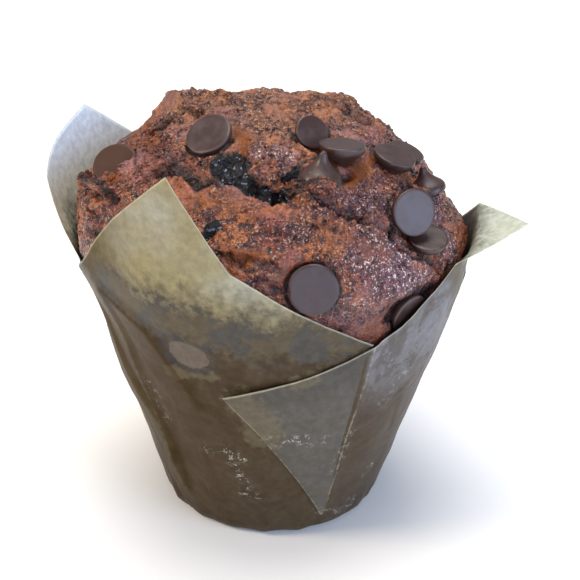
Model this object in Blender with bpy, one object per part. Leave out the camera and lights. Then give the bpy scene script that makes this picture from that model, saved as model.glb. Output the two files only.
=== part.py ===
"""Double chocolate muffin in a folded tulip wrapper.

Metres, +Z up. The origin is the centre of the wrapper's base, on the surface it stands on.
Azimuths are in degrees about +Z, from the front (-Y), positive to the right (+X).
Slants are lengths up the cup's wall from the edge of its base.
"""

import math

import bmesh
import bpy
import numpy as np
from mathutils import Vector

MM = 0.001

# Wrapper cup
BASE_RADIUS = 24.6 * MM
BASE_CORNER = 3.5 * MM
WALL_SLOPE = math.radians(15.9)
WALL = 0.5 * MM
CUP_LEAN = 0.026
GAP = 0.45 * MM

# Cake dome: half an ellipsoid on the cup, its crown a little to the left
DOME_RADIUS = 41.6 * MM
DOME_START = 63.0 * MM
DOME_HEIGHT = 28.2 * MM
CROWN_SHIFT = -2.2 * MM
LUMP_HEIGHT = 0.7 * MM
# Swellings and hollows of the dome: centre in mm, reach, and how far out they push the crust
SWELLINGS = (
    {"centre": (-20, 12, 87), "reach": 9 * MM, "push": 2.4 * MM},
    {"centre": (15, 13, 87), "reach": 8 * MM, "push": 1.6 * MM},
    {"centre": (36, -4, 80), "reach": 15 * MM, "push": -2.2 * MM},
    {"centre": (6, -37, 74), "reach": 12 * MM, "push": 0.9 * MM},
    {"centre": (-31, 0, 84), "reach": 8 * MM, "push": -1.5 * MM},
)
DOME_MIDDLE = Vector((0.0, 0.0, 45.0)) * MM

# Rim of the sheet round the cup: (azimuth, slant in mm). Four petals rise between four notches.
RIM = (
    (-187, 66.5), (-162, 58), (-150, 66), (-135, 76), (-119, 86.5), (-103, 83), (-96, 80.5), (-90, 77.5),
    (-85, 71.5), (-80, 66.5), (-75, 63.5), (-51, 74.5), (-41, 82), (-24, 93.5), (-15, 81), (-10, 74.8),
    (4, 67.5), (22, 58), (28.5, 54.5), (37, 58), (49, 63.2), (57, 67.5), (72, 80.4), (89, 71.5),
    (100, 64.5), (115, 57), (130, 61), (142, 66.5), (158, 77.4), (173, 66.5),
)
# Petal tips bent down and out: azimuth and slant of both ends of the bend, then where the tip points
BENT_TIPS = (
    {"start": (57, 67.5), "end": (89, 71.5), "outward": 70, "rise": 21.5},
    {"start": (142, 66.5), "end": (173, 66.5), "outward": 157, "rise": 20},
)
# The front left petal stands steeper than the wall, and the back left one bulges outwards
STEEP_PETAL = {"azimuth": -24, "width": 34, "from": 68 * MM, "lean": 0.19}
BULGING_PETAL = {"azimuth": -88, "width": 14, "from": 58 * MM, "to": 72 * MM, "out": 1.6 * MM}

# Pleats folded flat against the wall: apex at the base, loose corner, notch where the fold ends
PLEATS = (
    {"apex": (24, 4), "corner": (-16.5, 43), "middle": (9, 49.4), "notch": (28.5, 53.6)},
    {"apex": (-43, 4), "corner": (-74, 63.4), "middle": (-66, 66.9), "notch": (-58, 70.6)},
    {"apex": (104, 4), "corner": (82, 57), "middle": (100, 61), "notch": (115, 56)},
    {"apex": (-168, 4), "corner": (-205, 45), "middle": (-182, 51), "notch": (-162, 57)},
)
PLEAT_HEIGHT = 0.9 * MM

# Chocolate chip, a turned drop: (radius, height above its flat base) in mm
CHIP_PROFILE = ((4.4, 0.0), (4.7, 0.4), (4.6, 1.4), (3.3, 2.8), (2.0, 4.1), (1.15, 5.3), (0.5, 6.6))
CHIP_TIP = 6.9
CHIP_SIDES = 14
# Where each chip sits: centre of its flat base in mm, azimuth and elevation that the base faces, scale
CHIPS = {
    "chip_crown_left": ((-12.5, -15.0, 89.7), -36, 52, 1.0),
    "chip_left_shoulder": ((-31.5, -11.0, 82.0), -15, 49, 1.0),
    "chip_front": ((7.5, -41.0, 68.5), -2, 22, 1.0),
    "chip_right_upper": ((27.5, -24.5, 77.0), 26, 20, 0.98),
    "chip_right_lower": ((30.5, -23.5, 71.5), 11, 72, 0.85),
    "chip_right_crown": ((24.5, -12.5, 84.5), 66, 71, 0.92),
    "chip_crown_flat": ((13.5, -19.0, 89.0), 129, 85, 0.95),
    "chip_crown_back": ((8.0, -13.5, 89.5), 31, 38, 0.75),
    "chip_crown_upright": ((9.0, -25.0, 83.5), -90, -86, 0.9),
    "chip_right_upright": ((31.5, -12.0, 76.5), 80, -75, 0.8),
    "chip_right_edge": ((28.0, -4.0, 82.5), 76, 66, 0.8),
    "chip_right_rim": ((27.0, -29.5, 57.5), 41, -14, 0.9),
    "chip_in_front_wall": ((-16.5, -33.3, 50.5), -26, -16, 1.0),
    "chip_back_crown": ((-8.0, 30.0, 81.5), -170, 48, 1.0),
    "chip_back_left": ((-26.0, 27.0, 75.5), -135, 38, 0.95),
    "chip_back_middle": ((9.0, 37.0, 75.0), 165, 28, 1.0),
    "chip_back_right": ((27.5, 27.0, 72.0), 135, 25, 1.0),
    "chip_back_low": ((-14.0, 39.0, 70.0), -165, 12, 0.95),
}


def smooth(low, high, value):
    share = min(max((value - low) / (high - low), 0.0), 1.0)
    return share * share * (3 - 2 * share)


def direction(azimuth, elevation):
    flat = math.cos(math.radians(elevation))
    angle = math.radians(azimuth)
    return Vector((flat * math.sin(angle), -flat * math.cos(angle), math.sin(math.radians(elevation))))


def rim_slant(azimuth):
    turned = (azimuth + 187) % 360 - 187
    azimuths = [point[0] for point in RIM] + [173.0]
    slants = [point[1] for point in RIM] + [RIM[0][1]]
    return float(np.interp(turned, azimuths, slants)) * MM


def wall_section(slant):
    """Radius and height of the cup's outer surface, and its outward normal, at this slant."""
    turn = math.pi / 2 - WALL_SLOPE
    start = -BASE_CORNER * math.tan(turn / 2)
    if slant < start:
        return BASE_RADIUS + slant, 0.0, 0.0, -1.0
    angle = min((slant - start) / BASE_CORNER, turn)
    beyond = max(slant - start - BASE_CORNER * turn, 0.0)
    radius = BASE_RADIUS + start + BASE_CORNER * math.sin(angle) + beyond * math.sin(WALL_SLOPE)
    height = BASE_CORNER * (1 - math.cos(angle)) + beyond * math.cos(WALL_SLOPE)
    return radius, height, math.sin(angle), -math.cos(angle)


def cup_centre(height):
    return CUP_LEAN * height * (1 - smooth(48 * MM, 66 * MM, height))


def petal_shift(azimuth, slant):
    """How far the free part of a petal stands outside the wall's cone."""
    steep = math.exp(-(((azimuth - STEEP_PETAL["azimuth"]) / STEEP_PETAL["width"]) ** 4))
    bulge = math.exp(-(((azimuth - BULGING_PETAL["azimuth"]) / BULGING_PETAL["width"]) ** 2))
    inwards = steep * STEEP_PETAL["lean"] * max(slant - STEEP_PETAL["from"], 0.0)
    outwards = bulge * BULGING_PETAL["out"] * smooth(BULGING_PETAL["from"], BULGING_PETAL["to"], slant)
    return outwards - inwards


def cone_point(azimuth, slant, outside):
    radius, height, across, upward = wall_section(slant)
    radius += petal_shift(azimuth, slant) + outside * across
    angle = math.radians(azimuth)
    centre = cup_centre(height)
    return Vector((centre + radius * math.sin(angle), -radius * math.cos(angle), height + outside * upward))


def wrapper_point(azimuth, slant, outside=0.0):
    """A point of the wrapper, this far outside the sheet that lies against the cake."""
    for tip in BENT_TIPS:
        (first, low), (last, high) = tip["start"], tip["end"]
        if not first < azimuth < last:
            continue
        bend = (low + (high - low) * (azimuth - first) / (last - first)) * MM
        if slant <= bend:
            continue
        along = (slant - bend) * direction(tip["outward"], tip["rise"])
        under = outside * direction(tip["outward"], tip["rise"] - 90)
        return cone_point(azimuth, bend, 0.0) + along + under
    return cone_point(azimuth, slant, outside)


def grid_faces(rows, columns, wrap, flip=False):
    faces = []
    for row in range(rows - 1):
        for column in range(columns if wrap else columns - 1):
            other = (column + 1) % columns
            face = (
                row * columns + column,
                row * columns + other,
                (row + 1) * columns + other,
                (row + 1) * columns + column,
            )
            faces.append(face[::-1] if flip else face)
    return faces


def make_object(name, points, faces, material):
    mesh = bpy.data.meshes.new(name)
    mesh.from_pydata([tuple(point) for point in points], [], faces)
    shape = bmesh.new()
    shape.from_mesh(mesh)
    bmesh.ops.recalc_face_normals(shape, faces=shape.faces)
    shape.to_mesh(mesh)
    shape.free()
    mesh.shade_smooth()
    mesh.set_sharp_from_angle(angle=math.radians(50))
    mesh.materials.append(material)
    obj = bpy.data.objects.new(name, mesh)
    bpy.context.collection.objects.link(obj)
    return obj


def make_material(name, colour, roughness, coat=0.0):
    material = bpy.data.materials.new(name)
    material.use_nodes = True
    shader = material.node_tree.nodes["Principled BSDF"]
    shader.inputs["Base Color"].default_value = (*colour, 1.0)
    shader.inputs["Roughness"].default_value = roughness
    shader.inputs["Metallic"].default_value = 0.0
    shader.inputs["Coat Weight"].default_value = coat
    return material


def column_azimuths():
    """The grid's azimuths: every corner of the rim, and regular ones between them."""
    step = 6
    corners = [point[0] if point[0] >= -180 else point[0] + 360 for point in RIM[1:]]
    regular = [a for a in range(-180, 180, step) if min(abs(a - corner) for corner in corners) > step / 3]
    return sorted(corners + regular)


def row_slants(azimuth):
    """Slants from the floor's middle out and up to the rim. The last rows follow a bent tip."""
    rim = rim_slant(azimuth)
    floor = [-0.6 * BASE_RADIUS, -0.12 * BASE_RADIUS, -0.3 * MM, 2.6 * MM]
    knee = rim - 4 * MM
    for tip in BENT_TIPS:
        if tip["start"][0] < azimuth < tip["end"][0]:
            share = (azimuth - tip["start"][0]) / (tip["end"][0] - tip["start"][0])
            bend = (tip["start"][1] + (tip["end"][1] - tip["start"][1]) * share) * MM
            knee = min(knee, bend)
    wall_rows = 8
    wall = [floor[-1] + (knee - floor[-1]) * (row + 1) / wall_rows for row in range(wall_rows)]
    return floor + wall + [(knee + rim) / 2, rim]


def build_wrapper_cup(material):
    """The wrapper's single wall: a cup with a flat floor and four petals."""
    azimuths = column_azimuths()
    columns = len(azimuths)
    points = []
    for outside in (0.0, -WALL):
        slants = [row_slants(azimuth) for azimuth in azimuths]
        for row in range(len(slants[0])):
            points += [wrapper_point(a, slants[i][row], outside) for i, a in enumerate(azimuths)]
    rows = len(points) // columns // 2
    inner = rows * columns
    faces = grid_faces(rows, columns, True)
    faces += [tuple(index + inner for index in face) for face in grid_faces(rows, columns, True, flip=True)]
    rim = (rows - 1) * columns
    for column in range(columns):
        here, there = rim + column, rim + (column + 1) % columns
        faces.append((here, there, inner + there, inner + here))
    faces += [tuple(range(columns))[::-1], tuple(range(inner, inner + columns))]
    return make_object("tulip_wrapper", points, faces, material)


def pleat_top(pleat, share):
    """The pleat's free upper edge, from its loose corner (0) to the notch (1)."""
    knots = [pleat["corner"], pleat["middle"], pleat["notch"]]
    azimuth = float(np.interp(share, (0, 0.55, 1), [knot[0] for knot in knots]))
    slant = float(np.interp(share, (0, 0.55, 1), [knot[1] for knot in knots]))
    return azimuth, slant


def build_pleat(name, pleat, material):
    """The folded triangle of paper on the outside of the wall."""
    steps, rises = 8, 9
    points = []
    for inside in (False, True):
        for rise in range(rises):
            height = 0.06 + 0.94 * rise / (rises - 1)
            for step in range(steps):
                share = step / (steps - 1)
                azimuth, slant = pleat_top(pleat, share)
                azimuth = pleat["apex"][0] + (azimuth - pleat["apex"][0]) * height
                slant = pleat["apex"][1] + (slant - pleat["apex"][1]) * height
                lift = PLEAT_HEIGHT * (1 - 0.85 * smooth(0.55, 1.0, share))
                points.append(wrapper_point(azimuth, slant * MM, -WALL / 2 if inside else lift))
    half = steps * rises
    faces = grid_faces(rises, steps, False)
    faces += [tuple(index + half for index in face) for face in grid_faces(rises, steps, False, flip=True)]
    border = [i for i in range(steps)] + [r * steps + steps - 1 for r in range(1, rises)]
    border += [half - 1 - i for i in range(1, steps)] + [r * steps for r in range(rises - 2, 0, -1)]
    faces += [(a, b, b + half, a + half) for a, b in zip(border, border[1:] + border[:1])]
    pleat_object = make_object(name, points, faces, material)
    pleat_object.hide_render = True
    pleat_object.display_type = "WIRE"
    return pleat_object


def build_wrapper(material):
    wrapper = build_wrapper_cup(material)
    for number, pleat in enumerate(PLEATS):
        union = wrapper.modifiers.new(f"pleat_{number}", "BOOLEAN")
        union.operation = "UNION"
        union.object = build_pleat(f"pleat_fold_{number}", pleat, material)
    return wrapper


def cake_rows():
    """Rings of the cake from its floor to its crown: (centre, radius, height)."""
    inset = WALL + GAP
    rings = [(0.0, share * BASE_RADIUS, inset) for share in (0.35, 0.7)]
    for slant in (-1.6, 1.0, 4.0, 9.0, 17.0, 26.0, 35.0, 44.0, 52.0, 58.5, 63.0):
        radius, height, across, upward = wall_section(slant * MM)
        rings.append((cup_centre(height), radius - inset * across, height - inset * upward))
    for step in range(12):
        angle = math.radians(7.5 * step + 1.5)
        height = DOME_START + DOME_HEIGHT * math.sin(angle)
        centre = cup_centre(height) + CROWN_SHIFT * smooth(63 * MM, 76 * MM, height)
        rings.append((centre, DOME_RADIUS * math.cos(angle), height))
    return rings


def crust_push(point, azimuth):
    """How far the crust rises or sinks here. It fades out where the wrapper holds the cake."""
    angle = math.radians(azimuth)
    wave = math.sin(3 * angle + 0.9) + 0.7 * math.sin(5 * angle + 330 * point.z + 0.4)
    wave += 0.6 * math.sin(8 * angle - 420 * point.z)
    push = LUMP_HEIGHT * (wave / 2.3 - 0.4) * min(math.hypot(point.x, point.y) / (10 * MM), 1.0)
    for swelling in SWELLINGS:
        distance = (point - Vector(swelling["centre"]) * MM).length
        push += swelling["push"] * math.exp(-((distance / swelling["reach"]) ** 2))
    return push * smooth(64 * MM, 72 * MM, point.z)


def build_cake(material):
    """One solid cake: it fills the cup and rises over the rim as a lumpy dome."""
    columns = 48
    points = []
    rings = cake_rows()
    for centre, radius, height in rings:
        for column in range(columns):
            azimuth = 360 * column / columns
            angle = math.radians(azimuth)
            point = Vector((centre + radius * math.sin(angle), -radius * math.cos(angle), height))
            points.append(point + crust_push(point, azimuth) * (point - DOME_MIDDLE).normalized())
    faces = grid_faces(len(rings), columns, True)
    last = (len(rings) - 1) * columns
    faces += [tuple(range(columns))[::-1], tuple(range(last, last + columns))]
    return make_object("muffin_cake", points, faces, material)


def drop_mesh(scale, extra):
    """A chip's turned drop, or with extra added all round, the socket that it sits in."""
    knots = [(radius * MM * scale, height * MM * scale) for radius, height in CHIP_PROFILE]
    tip = CHIP_TIP * MM * scale + extra
    points = [(0.0, 0.0, -extra)]
    for radius, height in knots:
        lifted = height - extra if height == 0 else height
        for side in range(CHIP_SIDES):
            angle = 2 * math.pi * side / CHIP_SIDES
            points.append(((radius + extra) * math.cos(angle), (radius + extra) * math.sin(angle), lifted))
    points.append((0.0, 0.0, tip))
    faces = [tuple(1 + index for index in face) for face in grid_faces(len(knots), CHIP_SIDES, True)]
    end = len(points) - 1
    top = 1 + (len(knots) - 1) * CHIP_SIDES
    for side in range(CHIP_SIDES):
        other = (side + 1) % CHIP_SIDES
        faces.append((0, 1 + other, 1 + side))
        faces.append((top + side, top + other, end))
    return points, faces


def place(obj, centre, azimuth, elevation):
    """Puts a drop's flat base here, facing this way."""
    obj.location = Vector(centre) * MM
    obj.rotation_euler = (-direction(azimuth, elevation)).to_track_quat("Z", "Y").to_euler()


def build_chips(cake, material):
    sockets = bpy.data.collections.new("chip_sockets")
    bpy.context.scene.collection.children.link(sockets)
    for name, (centre, azimuth, elevation, scale) in CHIPS.items():
        chip = make_object(name, *drop_mesh(scale, 0.0), material)
        place(chip, centre, azimuth, elevation)
        socket = make_object(f"{name}_socket", *drop_mesh(scale, GAP), material)
        place(socket, centre, azimuth, elevation)
        bpy.context.collection.objects.unlink(socket)
        sockets.objects.link(socket)
        socket.hide_render = True
        socket.display_type = "WIRE"
    for socket in sockets.objects:
        cut = cake.modifiers.new(socket.name, "BOOLEAN")
        cut.operation = "DIFFERENCE"
        cut.object = socket


def main():
    for obj in list(bpy.data.objects):
        bpy.data.objects.remove(obj)
    crumb = make_material("chocolate_crumb", (0.09, 0.035, 0.02), 0.8)
    chocolate = make_material("chip_chocolate", (0.06, 0.045, 0.045), 0.4, coat=0.1)
    paper = make_material("greased_parchment", (0.30, 0.26, 0.18), 0.55)
    build_wrapper(paper)
    cake = build_cake(crumb)
    build_chips(cake, chocolate)


main()
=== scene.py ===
import itertools
import math

import bmesh
import bpy
import numpy as np
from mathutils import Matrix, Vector


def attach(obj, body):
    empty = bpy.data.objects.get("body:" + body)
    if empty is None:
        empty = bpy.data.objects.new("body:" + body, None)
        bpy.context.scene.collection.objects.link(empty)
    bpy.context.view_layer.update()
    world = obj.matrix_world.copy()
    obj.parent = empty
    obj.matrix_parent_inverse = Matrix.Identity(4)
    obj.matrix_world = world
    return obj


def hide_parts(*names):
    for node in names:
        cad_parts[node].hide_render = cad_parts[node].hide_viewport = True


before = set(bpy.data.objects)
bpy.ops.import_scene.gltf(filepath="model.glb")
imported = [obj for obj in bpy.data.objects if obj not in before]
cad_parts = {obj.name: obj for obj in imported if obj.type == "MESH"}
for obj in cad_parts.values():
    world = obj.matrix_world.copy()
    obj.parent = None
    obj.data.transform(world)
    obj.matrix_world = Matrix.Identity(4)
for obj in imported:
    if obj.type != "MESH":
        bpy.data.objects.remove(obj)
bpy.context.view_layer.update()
mm = 0.001  # shapes are worked out in millimetres and made in metres
print("frame loaded:", len(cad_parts), "CAD nodes")


def ease(low, high, value):
    share = np.clip((value - low) / (high - low), 0.0, 1.0)
    return share * share * (3 - 2 * share)


def bell(value, reach, power=2):  # 1 at 0, fading out past this reach
    return np.exp(-((value / reach) ** power))


def facing(azimuth, elevation):  # azimuth from the front, positive to the right
    flat, angle = math.cos(math.radians(elevation)), math.radians(azimuth)
    return Vector((flat * math.sin(angle), -flat * math.cos(angle), math.sin(math.radians(elevation))))


def cellNumber(cell, seed):  # a steady random number from 0 to 1 for each lattice cell
    n = (cell[..., 0] * 73856093) ^ (cell[..., 1] * 19349663) ^ (cell[..., 2] * 83492791) ^ (seed * 97531 + 1013)
    n = ((n ^ (n >> 15)) & 0xffffffff) * 2246822519 & 0xffffffff
    n = ((n ^ (n >> 13)) & 0xffffffff) * 1274126177 & 0xffffffff
    return ((n ^ (n >> 16)) & 0xffffff) / 16777216.0


def cellSpot(cell, seed):
    return np.stack([cellNumber(cell, seed + k) for k in (1, 2, 3)], 1)


def lumps(points, size, seed):  # gradient noise, about -1 to 1, with lumps of this size
    place = points / size
    base = np.floor(place).astype(np.int64)
    inside = place - base
    fade = inside ** 3 * (inside * (inside * 6 - 15) + 10)
    total = np.zeros(len(points))
    for step in itertools.product((0, 1), repeat=3):
        step = np.array(step)
        slope = cellSpot(base + step, seed) * 2 - 1
        weight = np.prod(np.where(step, fade, 1 - fade), axis=1)
        total += weight * (slope * (inside - step)).sum(1)
    return total * 1.7


def layered(points, size, seed, layers):
    total = sum(lumps(points, size / 2 ** k, seed + 11 * k) / 2 ** k for k in range(layers))
    return total / sum(0.5 ** k for k in range(layers)) * 1.2


def drift(points, size, seed):  # a smoothly changing shift of each point
    return np.stack([lumps(points, size, seed + k) for k in range(3)], 1)


def scattered(points, size, seed):  # distance to the nearest two of many scattered spots, and the nearest one's number
    place = points / size
    base = np.floor(place).astype(np.int64)
    first, second = np.full(len(points), 9.0), np.full(len(points), 9.0)
    number = np.zeros(len(points))
    for step in itertools.product((-1, 0, 1), repeat=3):
        cell = base + np.array(step)
        away = np.linalg.norm(place - (cell + cellSpot(cell, seed)), axis=1)
        nearer = away < first
        second = np.where(nearer, first, np.minimum(second, away))
        first = np.where(nearer, away, first)
        number = np.where(nearer, cellNumber(cell, seed + 4), number)
    return first * size, second * size, number


def toPath(points, path, normals=None):  # distance to a line of points, signed by side, and the share along it
    path = np.array(path, float)
    lengths = np.linalg.norm(np.diff(path, axis=0), axis=1)
    run = np.concatenate([[0], np.cumsum(lengths)])
    best, share, side = np.full(len(points), 1e9), np.zeros(len(points)), np.ones(len(points))
    for k, length in enumerate(lengths):
        along = (path[k + 1] - path[k]) / length
        part = np.clip((points - path[k]) @ along, 0, length)
        gap = points - path[k] - part[:, None] * along
        away = np.linalg.norm(gap, axis=1)
        nearer = away < best
        best = np.where(nearer, away, best)
        share = np.where(nearer, (run[k] + part) / run[-1], share)
        if normals is not None:
            side = np.where(nearer, np.sign((gap * np.cross(normals, along)).sum(1) + 1e-9), side)
    return best, side, share


def paintMarks(points, lines):  # the strongest of many lines, each with a reach and a strength
    total = np.zeros(len(points))
    for path, reach, strength in lines:
        total = np.maximum(total, strength * bell(toPath(points, path)[0], reach))
    return total


def gridFaces(rows, columns):
    row, column = np.meshgrid(np.arange(rows - 1), np.arange(columns), indexing="ij")
    row, column = row.ravel() * columns, column.ravel()
    other = (column + 1) % columns
    return np.stack([row + column, row + other, row + columns + other, row + columns + column], 1).tolist()


def closedFaces(rows, columns):  # rings whose two last points are the poles at their first and last ring
    faces = gridFaces(rows, columns)
    low, high, last = rows * columns, rows * columns + 1, (rows - 1) * columns
    for k in range(columns):
        other = (k + 1) % columns
        faces += [(low, other, k), (high, last + k, last + other)]
    return faces


def addObject(name, mesh):
    piece = bpy.data.objects.new(name, mesh)
    bpy.context.scene.collection.objects.link(piece)
    return piece


def makePiece(name, points, faces, material, marks=None, weld=0.0):
    mesh = bpy.data.meshes.new(name)
    mesh.from_pydata((np.asarray(points) * mm).tolist(), [], faces)
    for mark, values in (marks or {}).items():
        mesh.attributes.new(mark, "FLOAT", "POINT").data.foreach_set("value", np.asarray(values, np.float32))
    shape = bmesh.new()
    shape.from_mesh(mesh)
    if weld:
        bmesh.ops.remove_doubles(shape, verts=shape.verts, dist=weld * mm)
        bmesh.ops.dissolve_degenerate(shape, edges=shape.edges, dist=1e-8)
    bmesh.ops.recalc_face_normals(shape, faces=shape.faces)
    shape.to_mesh(mesh)
    shape.free()
    mesh.shade_smooth()
    mesh.materials.append(material)
    return addObject(name, mesh)


def finalMesh(piece):  # with its modifiers applied
    return bpy.data.meshes.new_from_object(piece.evaluated_get(bpy.context.evaluated_depsgraph_get()))


def addNode(tree, kind, inputs=None, **settings):
    node = tree.nodes.new(kind)
    for key, value in settings.items():
        setattr(node, key, value)
    for key, value in (inputs or {}).items():
        if isinstance(value, bpy.types.NodeSocket):
            tree.links.new(value, node.inputs[key])
        else:
            node.inputs[key].default_value = value
    return node


class Skin:  # one material: tones are names in its look, or sockets, and each new one goes over the colour so far
    def __init__(self, name, look, **sockets):
        self.material = bpy.data.materials.new(name)
        self.material.use_nodes = True
        self.tree, self.look = self.material.node_tree, look
        self.shader = self.tree.nodes["Principled BSDF"]
        for key, value in sockets.items():
            self.shader.inputs[key].default_value = value
        self.place = addNode(self.tree, "ShaderNodeTexCoord").outputs["Object"]
        self.colour = self.normal = None

    def grain(self, size, detail=2, rough=0.5, twist=0):  # noise with lumps of this size in millimetres
        return addNode(self.tree, "ShaderNodeTexNoise", {
            "Vector": self.place, "Scale": 1000 / size, "Detail": detail, "Roughness": rough, "Distortion": twist,
        }).outputs["Fac"]

    def grains(self):
        return [self.grain(*values) for values in self.look["grains"].values()]

    def mark(self, name):
        return addNode(self.tree, "ShaderNodeAttribute", attribute_name=name).outputs["Fac"]

    def stretch(self, value, low, high, toLow=0, toHigh=1, soft=True):
        return addNode(self.tree, "ShaderNodeMapRange", {
            "Value": value, "From Min": low, "From Max": high, "To Min": toLow, "To Max": toHigh,
        }, interpolation_type="SMOOTHSTEP" if soft else "LINEAR").outputs["Result"]

    def sums(self, way, first, *others):
        for other in others:
            first = addNode(self.tree, "ShaderNodeMath", {0: first, 1: other}, operation=way).outputs[0]
        return first

    def times(self, *values):
        return self.sums("MULTIPLY", *values)

    def plus(self, *values):
        return self.sums("ADD", *values)

    def most(self, *values):
        return self.sums("MAXIMUM", *values)

    def blend(self, share, below, above, way="MIX"):
        below, above = ((*self.look[tone], 1) if isinstance(tone, str) else tone for tone in (below, above))
        return addNode(self.tree, "ShaderNodeMix", {0: share, 6: below, 7: above}, data_type="RGBA",
                       blend_type=way).outputs[2]

    def cover(self, share, tone, way="MIX"):
        self.colour = self.blend(share, self.colour, tone, way)

    def relief(self, height, deep, strength=1):  # deep in millimetres
        below = {"Normal": self.normal} if self.normal is not None else {}
        self.normal = addNode(self.tree, "ShaderNodeBump", {"Height": height, "Distance": deep * mm,
                                                            "Strength": strength, **below}).outputs["Normal"]

    def finish(self, **sockets):
        for key, value in {"Base Color": self.colour, "Normal": self.normal, **sockets}.items():
            self.tree.links.new(value, self.shader.inputs[key])
        return self.material


studio = {
    "cameraAt": (0.0, -0.229, 0.161), "cameraTilt": 63.8, "lens": 71.26, "shift": 0.031,
    "floorHalf": 1500, "floorHeight": -0.05, "floorColour": (0.93, 0.93, 0.93, 1),
    "sky": (0.95, 0.96, 1.0, 1), "skyLight": 0.45, "skySeen": 1.0, "aim": (0.0, 0.0, 0.055),
    "lights": {
        "windowRight": {"at": (0.85, -0.62, 0.32), "size": 0.7, "power": 6.9, "colour": (0.56, 0.71, 1.0)},
        "windowFront": {"at": (0.12, -1.15, 0.42), "size": 0.8, "power": 4.4, "colour": (0.58, 0.73, 1.0)},
        "lampLeft": {"at": (-0.85, -0.25, 0.75), "size": 0.35, "power": 6.5, "colour": (1.0, 0.84, 0.62)},
        "softTop": {"at": (0.0, 0.10, 1.1), "size": 0.75, "power": 10.5, "colour": (1.0, 0.97, 0.92)},
    },
}


def makeStudio():
    scene = bpy.context.scene
    scene.camera = addObject("camera", bpy.data.cameras.new("camera"))
    lens = scene.camera.data
    lens.sensor_width, lens.lens, lens.shift_x, lens.clip_start = 36.0, studio["lens"], studio["shift"], 0.01
    scene.camera.location = studio["cameraAt"]
    scene.camera.rotation_euler = (math.radians(studio["cameraTilt"]), 0, 0)
    scene.view_settings.view_transform = "Standard"
    scene.world = bpy.data.worlds.new("studioSky")
    scene.world.use_nodes = True
    tree = scene.world.node_tree
    background = tree.nodes["Background"]
    background.inputs["Color"].default_value = studio["sky"]
    seen = addNode(tree, "ShaderNodeLightPath").outputs["Is Camera Ray"]
    strength = addNode(tree, "ShaderNodeMapRange", {"Value": seen, "To Min": studio["skyLight"],
                                                    "To Max": studio["skySeen"]})
    tree.links.new(strength.outputs["Result"], background.inputs["Strength"])
    for name, lamp in studio["lights"].items():
        light = bpy.data.lights.new(name, "AREA")
        light.shape, light.size, light.energy, light.color = "DISK", lamp["size"], lamp["power"], lamp["colour"]
        holder = addObject(name, light)
        holder.location = lamp["at"]
        holder.rotation_euler = (Vector(studio["aim"]) - Vector(lamp["at"])).to_track_quat("-Z", "Y").to_euler()
    half, height = studio["floorHalf"], studio["floorHeight"]
    corners = [(-half, -half, height), (half, -half, height), (half, half, height), (-half, half, height)]
    pale = Skin("paleFloor", {}, **{"Roughness": 0.9, "Base Color": studio["floorColour"]})
    makePiece("floor", corners, [(0, 1, 2, 3)], pale.material)


makeStudio()
print("studio made")


# the cup's form, which the wrapper and the cake share
cup = {"baseRadius": 24.6, "baseCorner": 3.5, "slope": math.radians(15.9), "lean": 0.026, "cakeInset": 0.95}


def wallSection(slant):  # radius, height and outward normal of the cup, this far up its wall
    corner, turn = cup["baseCorner"], math.pi / 2 - cup["slope"]
    start = -corner * math.tan(turn / 2)
    angle = np.clip((slant - start) / corner, 0, turn)
    beyond = np.maximum(slant - start - corner * turn, 0)
    radius = cup["baseRadius"] + np.minimum(slant, start) + corner * np.sin(angle) + beyond * math.sin(cup["slope"])
    return radius, corner * (1 - np.cos(angle)) + beyond * math.cos(cup["slope"]), np.sin(angle), -np.cos(angle)


def slantAt(height):
    corner, turn = cup["baseCorner"], math.pi / 2 - cup["slope"]
    beyond = (height - corner * (1 - math.cos(turn))) / math.cos(cup["slope"])
    return -corner * math.tan(turn / 2) + corner * turn + beyond


def cupCentre(height):
    return cup["lean"] * height * (1 - ease(48, 66, height))


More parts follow.
